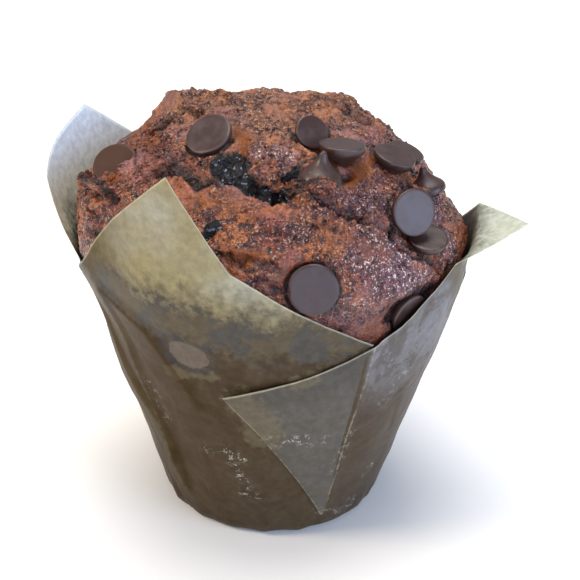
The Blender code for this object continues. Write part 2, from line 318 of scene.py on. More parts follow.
# One square sheet: four petals, and between them four folded pleats. Places on it are (azimuth, slant up the wall).
wrapper = {
    "rim": (
        (-187, 66.5), (-162, 58), (-150, 66), (-135, 76), (-119, 86.5), (-103, 83), (-96, 80.5), (-90, 77.5),
        (-85, 71.5), (-80, 66), (-75, 62.5), (-65, 64.6), (-58, 68.4), (-50, 74.8), (-41, 82), (-24, 93.5), (-15, 81),
        (-10, 74.8), (4, 67.5), (22, 58), (27.5, 55.4), (37, 58), (49, 63.2), (57, 67.5), (72, 80.4), (89, 71.5),
        (100, 64.5), (115, 57), (130, 61), (142, 66.5), (158, 77.4), (173, 66.5),
    ),
    "bentTips": (
        {"from": (57, 67.5), "to": (89, 71.5), "outward": 70, "rise": 21.5},
        {"from": (142, 66.5), "to": (173, 66.5), "outward": 157, "rise": 20},
    ),
    "steep": {"azimuth": -24, "width": 34, "above": 68, "lean": 0.19},
    "bulge": {"azimuth": -88, "width": 14, "low": 58, "high": 72, "out": 1.6},
    # each pleat: where its folds meet at the base, its loose corner, a point on its top edge, and its notch
    "pleats": (
        {"apex": (-43, 4), "corner": (-68.5, 62.8), "middle": (-64, 65.4), "notch": (-58, 68.4), "loose": 0},
        {"apex": (24, 4), "corner": (-16.5, 44), "middle": (9, 50.2), "notch": (27.5, 54.6), "loose": 0.9},
        {"apex": (104, 4), "corner": (82, 57), "middle": (100, 61), "notch": (115, 56), "loose": 0.1},
        {"apex": (192, 4), "corner": (155, 45), "middle": (178, 51), "notch": (198, 57), "loose": 0.7},
    ),
    # layerGap and paper in millimetres, flat in metres, degree in millimetres along the wall for each degree
    "layerGap": 0.32, "paper": 0.12, "rows": 88, "columnStep": 1.25, "pleatColumns": 12, "flat": (0.16, 0.16),
    "degree": 0.6,
    # how far up the fat has soaked, and the chip that shows through
    "greased": (
        (-180, 62), (-110, 63), (-80, 64), (-62, 70), (-45, 68), (-30, 66), (-8, 64), (8, 63), (25, 62), (30, 74),
        (55, 76), (62, 66), (80, 66), (90, 70), (110, 62), (180, 62),
    ),
    "chipUnder": {"azimuth": -26.5, "slant": 52.7, "squash": 1.15},
    # lines pressed into the wall: how far the side below each stands out, and the mark for the painted shade beside it
    "creases": (
        {"path": ((-22, 37), (-27.9, 42.6), (-32.3, 47.5), (-36.4, 52.4), (-39.3, 56.6), (-46, 59.3), (-53.5, 61.7),
         (-58, 64)), "step": 0.9, "mark": "creaseFrontShade"},
        {"path": ((-66, 60), (-62, 51), (-54.3, 38.6), (-47.4, 28.2), (-43.5, 18), (-43, 6)), "step": -0.7,
         "mark": "creaseLeftShade"},
        {"path": ((-74, 52), (-66, 34), (-56, 16), (-51, 3)), "step": 0.5},
        {"path": ((50, 2), (38, 6), (25.7, 12.4)), "step": 0.5},
        {"path": ((52, 22), (46, 40), (41, 52)), "step": -0.3},
        {"path": ((-30, 30), (-20, 33), (-10, 30)), "step": 0.25},
    ),
    # places or lines with a reach and a strength
    "bulges": (((-72, 38), 10, 0.9), ((70, 40), 10, 0.3), ((-20, 12), 8, 0.3), ((40, 28), 7, 0.35)),
    # thin light lines: painted highlights along the paper's crinkles
    "crinkleGlints": (
        (((-26.5, 25.9), (-18.6, 26), (-12.1, 25)), 1, 1),
        (((-19, 27), (-16.4, 23.4), (-14.6, 19.8), (-10.9, 16.2)), 1.1, 1), (((-14, 14), (-6, 12.5)), 0.9, 0.8),
        (((-3, 31.9), (6.9, 32), (17, 30.4)), 1.1, 1), (((24.4, 19.2), (25.8, 23.8), (26.5, 31)), 1.1, 0.8),
        (((42.9, 13.4), (49.9, 15.7)), 1.3, 0.7), (((22, 7), (34, 4), (44, 4)), 1.6, 0.6),
        (((-47, 40), (-44, 30)), 1.2, 0.5), (((38, 37), (46, 44)), 1, 0.5), (((-80, 30), (-70, 22)), 2, 0.5),
        (((95, 25), (100, 35)), 2, 0.6), (((165, 28), (175, 25)), 2, 0.6), (((-130, 30), (-125, 22)), 2, 0.6),
    ),
    "tanPatches": (
        (((-10, 42), (-6, 39), (-4, 33)), 5, 1), (((6.2, 48.4), (10, 49.5)), 3, 0.8),
        (((-33.4, 47), (-27.1, 48.6), (-21, 48)), 2.2, 1),
    ),
}


def rimSlant(azimuth):
    turned = (np.asarray(azimuth, float) + 187) % 360 - 187
    rim = wrapper["rim"] + ((173.001, wrapper["rim"][0][1]),)
    return np.interp(turned, [corner[0] for corner in rim], [corner[1] for corner in rim])


def petalShift(azimuth, slant):
    steep, bulge = wrapper["steep"], wrapper["bulge"]
    leaning = bell(azimuth - steep["azimuth"], steep["width"], 4) * steep["lean"]
    standing = bell(azimuth - bulge["azimuth"], bulge["width"]) * bulge["out"]
    above = slant - steep["above"]
    above = (above + np.sqrt(above ** 2 + 16)) / 2 * ease(-14, 2, above)
    return standing * ease(bulge["low"], bulge["high"], slant) - leaning * above


def conePoint(azimuth, slant, outside):
    radius, height, across, upward = wallSection(slant)
    radius = radius + petalShift(azimuth, slant) + outside * across
    angle = np.radians(azimuth)
    return np.stack([cupCentre(height) + radius * np.sin(angle), -radius * np.cos(angle),
                     height + outside * upward + 0 * angle], -1)


# Each chip: where its flat base is, the way that faces, its size, and how deep its bed in the crust is.
chips = {
    "chip_crown_left": {"at": (-12.5, -15, 89.7), "faces": (-36, 52), "size": 1, "bed": 1.5},
    "chip_left_shoulder": {"at": (-31.5, -11, 82), "faces": (-15, 49), "size": 1, "bed": 1.2, "matte": 1,
        "covered": ((0.66, -0.3, -0.69), 1.7)},
    "chip_front": {"at": (7.5, -41, 68.5), "faces": (-2, 22), "size": 1, "bed": 2, "nick": (4.7, -0.6, 0.5)},
    "chip_right_upper": {"at": (27.5, -24.5, 77), "faces": (26, 20), "size": 0.98, "bed": 2.4},
    "chip_right_lower": {"at": (30.5, -23.5, 71.5), "faces": (11, 72), "size": 0.85, "bed": 1.2},
    "chip_right_crown": {"at": (24.5, -12.5, 84.5), "faces": (66, 71), "size": 0.92, "bed": 2.2},
    "chip_crown_flat": {"at": (13.5, -19, 89), "faces": (129, 85), "size": 0.95, "bed": 0},
    "chip_crown_back": {"at": (8, -13.5, 89.5), "faces": (31, 38), "size": 0.75, "bed": 1.2},
    "chip_crown_upright": {"at": (9, -25, 83.5), "faces": (-90, -86), "size": 0.9, "bed": 0},
    "chip_right_upright": {"at": (31.5, -12, 76.5), "faces": (80, -75), "size": 0.8, "bed": 0},
    "chip_right_edge": {"at": (28, -4, 82.5), "faces": (76, 66), "size": 0.8, "bed": 0.9},
    "chip_right_rim": {"at": (27, -29.5, 57.5), "faces": (41, -14), "size": 0.9, "bed": 1.3},
    "chip_in_front_wall": {"at": (-16.5, -33.3, 50.5), "faces": (-26, -16), "size": 1, "bed": 0},
    "chip_back_crown": {"at": (-8, 30, 81.5), "faces": (-170, 48), "size": 1, "bed": 1.5},
    "chip_back_left": {"at": (-26, 27, 75.5), "faces": (-135, 38), "size": 0.95, "bed": 1.5},
    "chip_back_middle": {"at": (9, 37, 75), "faces": (165, 28), "size": 1, "bed": 1.5},
    "chip_back_right": {"at": (27.5, 27, 72), "faces": (135, 25), "size": 1, "bed": 1.5},
    "chip_back_low": {"at": (-14, 39, 70), "faces": (-165, 12), "size": 0.95, "bed": 1.5},
}
# a chip's turned outline as radius and height above its flat base, and the radii of its worn edge and widest ring
drop = {
    "outline": (
        (1.5, 0.05), (3, 0.04), (4, 0), (4.45, 0), (4.62, 0.07), (4.7, 0.2), (4.73, 0.45), (4.72, 0.8), (4.66, 1.15),
        (4.52, 1.5), (4.28, 1.85), (3.95, 2.2), (3.55, 2.55), (3.2, 2.87), (2.82, 3.2), (2.45, 3.55), (2.1, 3.92),
        (1.78, 4.3), (1.5, 4.68), (1.27, 5.05), (1.1, 5.42), (0.98, 5.78), (0.88, 6.12), (0.74, 6.42), (0.54, 6.66),
        (0.28, 6.83),
    ),
    "tip": 6.9, "sides": 44, "edge": 4.62, "radius": 4.73,
}


def chipFrame(chip):  # middle of the base, and its two side axes and its axis towards the tip
    turn = (-facing(*chip["faces"])).to_track_quat("Z", "Y").to_matrix()
    return np.array(chip["at"]), np.array(turn)


# One solid with a cracked, porous crust.
cake = {
    "columns": 500, "frontShare": 0.35, "domeRows": 164, "domeRadius": 41.6, "domeStart": 63, "domeHeight": 28.2,
    "crownShift": -2.2, "lumpHeight": 0.7, "middle": (0, 0, 45), "bareAbove": (51, 58), "paperGap": 0.55,
    "floorRings": (0.35, 0.7), "wallRings": (-1.6, 1, 4, 12, 24, 36, 45), "fineRings": (50, 63.5, 0.62),
    # noises over the crust: size, seed and number of layers, and for scattered spots only size and seed
    "noises": {"broad": (10, 5, 2), "torn": (16, 21, 2), "coarse": (3.6, 43, 2), "fine": (1.1, 33, 2),
               "porous": (8, 29, 1), "backMoistSheen": (14, 91, 2), "backCaramel": (12, 81, 2)},
    "spots": {"flakes": (5.2, 47), "knobs": (3.3, 7), "grains": (1.45, 17), "pores": (3.1, 27), "holes": (6.5, 37)},
    "bed": {"lip": 0.9, "slope": 1.9, "leastSlope": 0.35, "gap": 0.9, "reach": 6, "deepest": 9},
    # rises and hollows: middle, reach, height
    "swellings": (
        ((9, -28.7, 82.3), 4.2, 4.3), ((33, -14.8, 77.3), 3.7, 4.6), ((28, -7.5, 83.5), 3, 1.3),
        ((31.2, -5, 80.8), 2.6, 1.5), ((-0.6, -25.6, 85.2), 2.1, 1.5), ((3, -28.6, 83.3), 1.5, 0.8),
        ((-17, 10, 89), 4.2, 1), ((-11, 9, 91), 3.6, 1.1), ((-23, 9, 87), 2.4, -1), ((1, 12, 91), 4, 0.7),
        ((13.5, 8, 89.5), 3, 0.8), ((-19, 15.5, 88.5), 6, 2.9), ((-30, 9.5, 82.3), 4.5, -3),
        ((-22.3, 15.3, 87.3), 3, 2.2), ((-25.3, 13, 85.9), 2.2, 1), ((36, 0.5, 71), 6, -1.6), ((15, 13, 87), 8, 1.6),
        ((36, -4, 80), 15, -2.2), ((6, -37, 74), 12, 0.9), ((-32, 3, 82.5), 8, -2.6), ((36.5, -10.5, 75.5), 3.2, 1.6),
    ),
    # height and reach just above and just below each line
    "cracks": (
        {"path": ((-26.1, -20.7, 81.3), (-23.1, -21.2, 82.7), (-19.9, -21.9, 83.8), (-17.1, -24.4, 83.5),
         (-14.3, -27.3, 82.6), (-9.4, -27.6, 83.5), (-6.7, -28.4, 83.4), (-4.1, -29.9, 82.6), (-1.9, -31.3, 81.6),
         (0.4, -31.7, 81.1), (2.8, -30.7, 81.7), (5.2, -29.9, 82), (8, -31, 80.5), (11.3, -31.7, 78.7)),
         "above": (-3, 3.4), "below": (0.9, 3.5)},
        {"path": ((8, -31, 80.5), (11.3, -31.7, 78.7), (14.6, -31.1, 77.9), (17.5, -30.2, 77.1), (20.4, -29.7, 75.5),
         (23.4, -28.6, 74), (26.4, -27.8, 71.7), (29.4, -26.9, 69.2), (32.1, -25.7, 66.1)), "above": (-1.6, 2.2),
         "below": (0.5, 3)},
        {"path": ((-37.2, -5.6, 77.8), (-34.8, -12.5, 78.4), (-32.6, -17.3, 78.3), (-29.9, -21, 78.5)),
         "above": (-0.3, 1), "below": (-1.9, 1.6)},
        {"path": ((-37.6, -12.9, 74.9), (-35.8, -17.4, 74.7), (-34.1, -20.7, 74.2)), "above": (0.2, 1),
         "below": (-1.6, 1.2)},
        {"path": ((-37.2, -17.4, 71.7), (-35.3, -20.9, 71.5), (-32.9, -24, 72.2)), "above": (0.2, 1),
         "below": (-1.4, 1.2)},
        {"path": ((-28, -2, 85), (-24.8, -1.3, 86.7), (-22.6, -2, 87.5), (-20.9, 1, 88.2), (-18, 2.5, 88.9),
         (-15.8, 1, 89.6), (-13.1, -2.9, 90.1)), "above": (1.1, 2.6), "below": (-1.6, 1.8)},
        {"path": ((-27.1, 8.3, 84.9), (-23.5, 6, 86.6), (-20.2, 7, 87.9), (-15, 8, 89.3), (-9.8, 7.6, 90.1),
         (-6.7, 3.7, 90.9)), "above": (0.9, 2.5), "below": (-0.9, 1.6)},
        {"path": ((13, 3, 89.2), (15.4, 4.1, 88.5), (18, 4.2, 87.4), (20.4, 3.9, 86.5), (23.2, 5.1, 84.9),
         (27.1, 6, 83)), "above": (1.2, 2.6), "below": (-1.9, 1.8)},
        {"path": ((32.7, -24.6, 60.5), (29.8, -28.1, 60.2), (27, -30.9, 60.2), (25.1, -32.3, 59.9),
         (24.4, -32.6, 58.2), (24, -32.9, 56.4)), "above": (0.5, 1.2), "below": (-2.2, 2.4)},
        {"path": ((-10.3, -37.3, 74.1), (-7.3, -37.9, 74), (-4.4, -38.1, 74.3), (-1.8, -38.5, 73.6), (0.7, -39, 72.7)),
         "above": (0.2, 1.5), "below": (-0.8, 2)},
        {"path": ((-1.8, -35, 78.3), (1.5, -35.7, 77.2), (4.8, -36.3, 75.9), (8.1, -36.4, 74.7)), "above": (0.2, 1.5),
         "below": (-0.5, 1.6)},
        {"path": ((-8, -38.7, 72.5), (-8.8, -39.3, 70.8), (-9.2, -39.7, 69.4), (-8.4, -40.3, 67.6)),
         "above": (-0.8, 1.2), "below": (-0.5, 1.2)},
        {"path": ((24.1, -29.5, 72.3), (25.3, -29.6, 70.9), (28.1, -28.4, 69.1), (31.1, -26.8, 66.2),
         (33.7, -24.4, 62)), "above": (-1.8, 1.3), "below": (0.3, 1.5)},
        {"path": ((36, 8, 79), (30, 18, 79.5), (20, 25, 80.5), (11, 27, 82), (2, 26, 83.5)), "above": (-1.8, 2.6),
         "below": (0.7, 3.5)},
        {"path": ((-2, 36, 76), (-10, 35.5, 76.5), (-19, 31, 77), (-27, 22, 78.5)), "above": (-0.6, 1.6),
         "below": (0.5, 2)},
        {"path": ((-36.5, 15, 73), (-33, 22, 72.5), (-27, 30, 71)), "above": (-1.5, 1.4), "below": (0.3, 2)},
        {"path": ((22, 36, 69), (30, 29.5, 68), (37, 19, 69), (39.5, 11, 70.5)), "above": (0.4, 2),
         "below": (-1.3, 1.4)},
    ),
    # holes: middle, reach, depth
    "pits": (
        ((-7.3, -23.4, 86), 2.9, 1.5), ((-3.4, -27.9, 84), 1.5, 1.5), ((1.2, -29.4, 82.9), 1.3, 1.3),
        ((3.8, -25.2, 85.2), 1.1, 1), ((12, -8, 89.2), 2.2, 1.3), ((23, -28.6, 74.4), 1.5, 2.2),
        ((27.3, -15.6, 80.3), 1.9, 2.2), ((24.5, -29.7, 71.8), 0.9, 1.6), ((3.5, -36, 77), 0.55, 0.8),
        ((-12.3, -34.6, 77), 1.3, 0.9), ((-22, -2.5, 86.8), 1.3, 1.2), ((-34.5, -12, 78), 1.2, 1.2),
        ((14, -22.5, 84.2), 1.4, 1.2), ((0.6, -41, 68.5), 1.3, 1.2), ((13, -40.5, 67), 1, 0.7),
        ((23.5, 1.5, 85.2), 1.7, 1.6),
    ),
    # painted marks: lines with a reach and a strength
    "melt": (
        (((-10.2, -22.5, 86.2), (-8.6, -21.6, 86.8), (-6.4, -23, 86.4), (-8, -25, 85.2), (-5.6, -26.6, 84.6),
         (-4.3, -28.2, 83.6)), 2.5, 1),
        (((-3, -28.2, 83.9), (-1.5, -29, 83.4), (0.2, -29.9, 82.6), (2.2, -28.9, 83.2)), 1.6, 1),
        (((1.6, -26.6, 84.5), (3.6, -25.2, 85.2), (4.6, -23.6, 85.9)), 0.9, 0.9),
        (((-12.9, -34.8, 76.6), (-11.8, -34.1, 77.7), (-10.9, -33.6, 78.6)), 1.2, 1.2),
        (((9.9, -10.9, 88.9), (12.1, -7.3, 89), (14, -8.4, 88.3)), 1.7, 0.9),
        (((22.7, -29.7, 73.4), (23.6, -27.8, 74.6), (22.9, -27.4, 75.7)), 1.1, 0.9),
        (((22, 26, 80), (17, 27, 81)), 1.8, 1), (((-30, 26, 72), (-33, 21.5, 72.5)), 1.3, 1),
        (((-6, 38, 72), (-4.5, 38.5, 70)), 1.3, 1),
    ),
    "caramel": (
        (((-7.1, -12.9, 89.6), (-5.4, -15.9, 89), (-6, -20, 87.6), (-7.2, -21.5, 87)), 1.9, 1),
        (((14.9, -19.1, 85.2), (16.1, -21.1, 83.9), (15.2, -23.8, 82.9)), 1.6, 1),
        (((20.2, -12.9, 85.1), (18.7, -17, 84.5), (17.4, -20, 83.9)), 1.6, 0.9),
        (((-8.4, -37.5, 74.8), (-4, -38.1, 74.6), (-0.7, -38.1, 74.4)), 1, 0.9),
        (((9.8, -34.9, 76), (14.5, -34.1, 74.5), (20.3, -32.8, 71.9)), 2, 0.55),
        (((-28.2, -9, 84.1), (-29.6, -3.8, 84), (-27.1, -3.5, 85.5), (-24.9, -9, 85.8)), 2.6, 0.7),
        (((-36.7, -9.4, 77.4), (-33.7, -12.3, 79.4), (-30.9, -15.4, 80.5)), 1.6, 0.8),
        (((-26, -15.1, 83.7), (-22.8, -18.1, 84.2), (-24.1, -13.3, 85.2)), 2, 0.5),
        (((-13, -29.5, 81.5), (-8, -31, 81), (-3, -33, 80)), 2, 0.35), (((10, 24, 84), (22, 20, 82.5)), 3, 0.6),
        (((-20, 35, 72), (-12, 37.5, 73)), 2.2, 0.6),
    ),
    "knobs": (
        (((-28.2, -9, 84.1), (-29.6, -3.8, 84), (-27.1, -3.5, 85.5), (-24.9, -9, 85.8)), 4, 1),
        (((-36.7, -9.4, 77.4), (-33.7, -12.3, 79.4), (-30.9, -15.4, 80.5)), 3, 1),
        (((-26, -15.1, 83.7), (-22.8, -18.1, 84.2), (-24.1, -13.3, 85.2)), 3, 0.8),
        (((0, -24, 86.5), (6, -29, 82.5)), 3, 0.7), (((20, -24, 79.5), (17, -28, 79)), 3.5, 0.9),
        (((31, -6, 80), (33, -14, 75)), 4, 0.9), (((0, 30, 82), (20, 30, 77)), 5, 0.8),
    ),
    # moist crust, which also carries a painted purple sheen
    "moistSheen": (
        (((18, -33, 72), (22.2, -32.7, 70.2), (25.3, -32.2, 66.8), (27.5, -31.3, 63.2)), 5.5, 1.1),
        (((11.1, -40.1, 63), (16.7, -38, 60.6), (19.5, -36, 64.9)), 4.5, 0.7),
        (((17, -34.5, 70.5), (21.5, -33, 68.5)), 4, 0.6),
        (((-3, -20, 87.6), (1.5, -20.5, 87.4), (3.2, -22, 86.6)), 2.6, 1),
        (((36.5, -9, 74), (33.5, -18, 73), (35.5, -18, 66)), 5, 1), (((14, -28, 79.5), (24, -22, 78)), 3, 0.7),
        (((-26, -17, 82.5), (-20, -19, 84)), 3, 0.4), (((-24, 33, 66), (-10, 40, 66)), 4, 0.7),
    ),
}


def cakeProfile():  # rings from the floor to the crown: centre, radius and height
    inset = cup["cakeInset"]
    rings = [(0.0, share * cup["baseRadius"], inset) for share in cake["floorRings"]]
    for slant in (*cake["wallRings"], *np.arange(*cake["fineRings"])):
        radius, height, across, upward = wallSection(np.float64(slant))
        rings.append((cupCentre(height), radius - inset * across, height - inset * upward))
    fine = np.radians(np.linspace(1.5, 89.6, 900))
    radius, height = cake["domeRadius"] * np.cos(fine), cake["domeStart"] + cake["domeHeight"] * np.sin(fine)
    run = np.concatenate([[0], np.cumsum(np.hypot(np.diff(radius), np.diff(height)))])
    at = np.linspace(0, run[-1], cake["domeRows"])
    for r, h in zip(np.interp(at, run, radius), np.interp(at, run, height)):
        rings.append((cupCentre(h) + cake["crownShift"] * ease(63, 76, h), r, h))
    return np.array(rings)


def crustPush(points, angle):  # the crust's broad rises and hollows, as in the CAD cake
    z = points[:, 2] * mm
    wave = np.sin(3 * angle + 0.9) + 0.7 * np.sin(5 * angle + 330 * z + 0.4) + 0.6 * np.sin(8 * angle - 420 * z)
    push = cake["lumpHeight"] * (wave / 2.3 - 0.4) * np.minimum(np.hypot(points[:, 0], points[:, 1]) / 10, 1)
    for centre, reach, out in cake["swellings"]:
        push += out * bell(np.linalg.norm(points - centre, axis=1), reach)
    return push * ease(64, 72, points[:, 2])


def crustRelief(points, outward):  # height of every crack, pore and lump, with the marks that the material reads
    noise = {name: layered(points, *values) for name, values in cake["noises"].items()}
    spots = cake["spots"]
    ragged = points + 1.0 * drift(points, 4.0, 60)
    ragged += 0.45 * drift(points, 1.5, 70)
    height = 0.55 * noise["broad"]
    caramel = paintMarks(ragged, cake["caramel"])
    smooth = 1 - 0.7 * np.clip(caramel, 0, 1)
    knobs = np.clip(paintMarks(ragged, cake["knobs"]) + 0.45 * np.clip(noise["torn"], 0, 1), 0, 1)
    sunk = np.zeros(len(points))
    for crack in cake["cracks"]:
        away, side, share = toPath(ragged, crack["path"], outward)
        ends = ease(0, 0.12, share) * ease(0, 0.12, 1 - share) * 0.85 + 0.15
        upper, lower = (crack[part][0] * bell(away, crack[part][1]) for part in ("above", "below"))
        turn = 0.5 + 0.5 * np.tanh(side * away / 0.32)
        change = np.where(away < 14, ends * (upper * turn + lower * (1 - turn)), 0)
        height += change
        sunk = np.maximum(sunk, -change / 2.2)
    for centre, reach, deep in cake["pits"]:
        change = deep * bell(np.linalg.norm(ragged - centre, axis=1), reach, 3)
        height -= change
        sunk = np.maximum(sunk, change / 1.8)
    melt = np.clip(paintMarks(ragged, cake["melt"]), 0, 1)
    height += melt * (0.75 * lumps(points, 2.1, 151) + 0.45 * lumps(points, 1.1, 155))
    first, second, number = scattered(ragged, *spots["flakes"])  # flakes of crust at slightly different heights
    flaky = ease(80, 87, points[:, 2]) * 0.8 + 0.25 + 0.3 * knobs
    height += flaky * (1.3 * (number - 0.5)) * ease(0.0, 0.9, second - first)
    height -= flaky * 0.30 * bell(second - first, 0.5) * smooth
    first, second, number = scattered(points, *spots["knobs"])  # knobs of torn crumb
    height += knobs * (0.75 - 0.62 * first) + knobs * 0.35 * (second - first - 0.6).clip(-1, 0)
    first, second, number = scattered(points, *spots["grains"])  # small grains
    height += (0.24 + 0.26 * knobs) * (1 - 1.5 * first) * smooth
    texture = 0.42 * noise["coarse"] + 0.28 * noise["fine"] * smooth
    height += texture
    first, second, number = scattered(points + 0.6 * drift(points, 0.9, 75), *spots["pores"])
    size = 0.15 + 0.75 * number ** 2
    pores = np.clip(1 - first / size, 0, 1) ** 0.6 * ease(-0.3, 0.3, noise["porous"])
    height -= 0.6 * pores
    first, second, number = scattered(ragged, *spots["holes"])
    size = np.where(number > 0.55, 0.5 + 1.1 * (number - 0.55), 0.01)
    holes = np.clip(1 - first / size, 0, 1) ** 0.5
    height -= 0.9 * holes
    back = ease(-5, 20, points[:, 1])
    moistSheen = paintMarks(ragged, cake["moistSheen"]) + back * 0.6 * ease(0.2, 0.6, noise["backMoistSheen"])
    return height, {
        # recessShade: painted shade in cracks, pits, holes, pores and the lows of the texture
        "recessShade": np.clip(sunk + 0.6 * holes + 0.3 * pores + 0.5 * np.clip(-texture / 0.3 - 0.25, 0, 1), 0, 1),
        "melt": melt, "knobs": knobs, "moistSheen": np.clip(moistSheen, 0, 1),
        "caramel": np.clip(caramel + back * 0.7 * ease(0.25, 0.6, noise["backCaramel"]), 0, 1),
    }


def bedChips(points, outward, height):  # the crust sinks behind each flat face and leaves a gap round it, which rim marks for a painted shade
    bed, rim = cake["bed"], np.zeros(len(points))
    rough = 0.45 * lumps(points, 1.6, 88) + 0.3 * lumps(points, 0.8, 89)
    for chip in chips.values():
        centre, turn = chipFrame(chip)
        axis, radius = -turn[:, 2], drop["radius"] * chip["size"]
        local = points + height[:, None] * outward - centre
        deep = -(local @ axis)
        across = np.linalg.norm(local + deep[:, None] * axis, axis=1)
        leaning = outward @ axis
        cover = 0
        if "covered" in chip:
            way, start = chip["covered"]
            near = (across < radius + 2.0) * (np.abs(deep) < bed["deepest"])
            cover = ease(start - 0.4, start + 0.4, local @ np.array(way)) * near
        if chip["bed"]:
            rise = bed["slope"] / chip["bed"] + bed["leastSlope"]
            wanted = bed["lip"] - np.clip(across - radius - 0.25, 0, bed["deepest"]) * rise
            gap = bed["gap"] * bell(across - radius - 0.35, 0.45) * (deep > -2)
            near = (across < radius + bed["reach"]) * (leaning > 0.1)
            push = np.clip(wanted + gap - deep, 0, 5) / np.clip(leaning, 0.35, 1) * near
            height = height - np.where(np.abs(deep) < bed["deepest"], push, 0) * (1 - cover)
        height = height + cover * (np.clip(deep + 1.3, 0, 9) / np.clip(leaning, 0.4, 1) + rough)
        # rim: painted shade in the gap round the chip
        rim = np.maximum(rim, bell(across - radius - 0.2, 0.5) * (np.abs(deep - 1.2) < 2.4))
    return height, rim


def underPaper(points):  # keeps the cake inside the wrapper
    azimuth = np.degrees(np.arctan2(points[:, 0], -points[:, 1]))
    slant = slantAt(points[:, 2])
    allowed = wallSection(slant)[0] + petalShift(azimuth, slant) - cake["paperGap"]
    covered = slant < rimSlant(azimuth) + 0.8
    for tip in wrapper["bentTips"]:
        inside = (azimuth > tip["from"][0]) & (azimuth < tip["to"][0])
        covered &= ~(inside & (slant > 68))
    centre = cupCentre(points[:, 2])
    radius = np.hypot(points[:, 0] - centre, points[:, 1])
    share = np.where(covered & (radius > allowed), allowed / np.maximum(radius, 1), 1)
    points[:, 0] = centre + (points[:, 0] - centre) * share
    points[:, 1] *= share
    return points


def makeCake(material):
    rings = cakeProfile()
    turn = np.linspace(-math.pi, math.pi, cake["columns"], endpoint=False)
    angle = turn - cake["frontShare"] * np.sin(turn)
    centre, radius, height = (rings[:, k][:, None] for k in range(3))
    points = np.stack([centre + radius * np.sin(angle), -radius * np.cos(angle), height + 0 * angle], -1)
    poles = [(0, 0, rings[0][2]), (rings[-1][0], 0, cake["domeStart"] + cake["domeHeight"])]
    points = np.concatenate([points.reshape(-1, 3), poles])
    angles = np.concatenate([np.tile(angle, len(rings)), [0, 0]])
    outward = points - cake["middle"]
    outward /= np.linalg.norm(outward, axis=1)[:, None]
    points = points + crustPush(points, angles)[:, None] * outward
    bare = ease(*cake["bareAbove"], points[:, 2])  # only the part above the paper has a rough crust
    rise, marks = crustRelief(points, outward)
    rise, rim = bedChips(points, outward, rise * bare)
    # painted shade in the crust's recesses and in the gaps round the chips
    marks["recessShade"] = np.maximum(marks["recessShade"] * bare, rim * 0.9)
    points = underPaper(points + rise[:, None] * outward)
    return makePiece("cake", points, closedFaces(len(rings), cake["columns"]), material, marks)


crumbLook = {
    "deep": (0.036, 0.005, 0.010), "red": (0.212, 0.038, 0.024), "orange": (0.44, 0.125, 0.022),
    # pale and golden: painted sparkle colours
    "pale": (0.95, 0.78, 0.74), "goldenSparkle": (0.90, 0.64, 0.46), "tan": (0.33, 0.17, 0.075),
    "plumSheen": (0.205, 0.088, 0.120), "caramel": (0.150, 0.036, 0.001), "holeShade": (0.012, 0.002, 0.004),
    "melt": (0.004, 0.003, 0.005), "glint": (0.50, 0.60, 0.82),
    # each noise: size in millimetres, detail and roughness
    "grains": {"broad": (15, 3), "patch": (5.5, 3, 0.6), "fine": (1.5, 4, 0.66), "grit": (0.8, 3, 0.6),
               "dust": (0.42, 2), "calm": (7.5, 3, 0.55), "shade": (9, 3), "glint": (1.0, 2)},
}


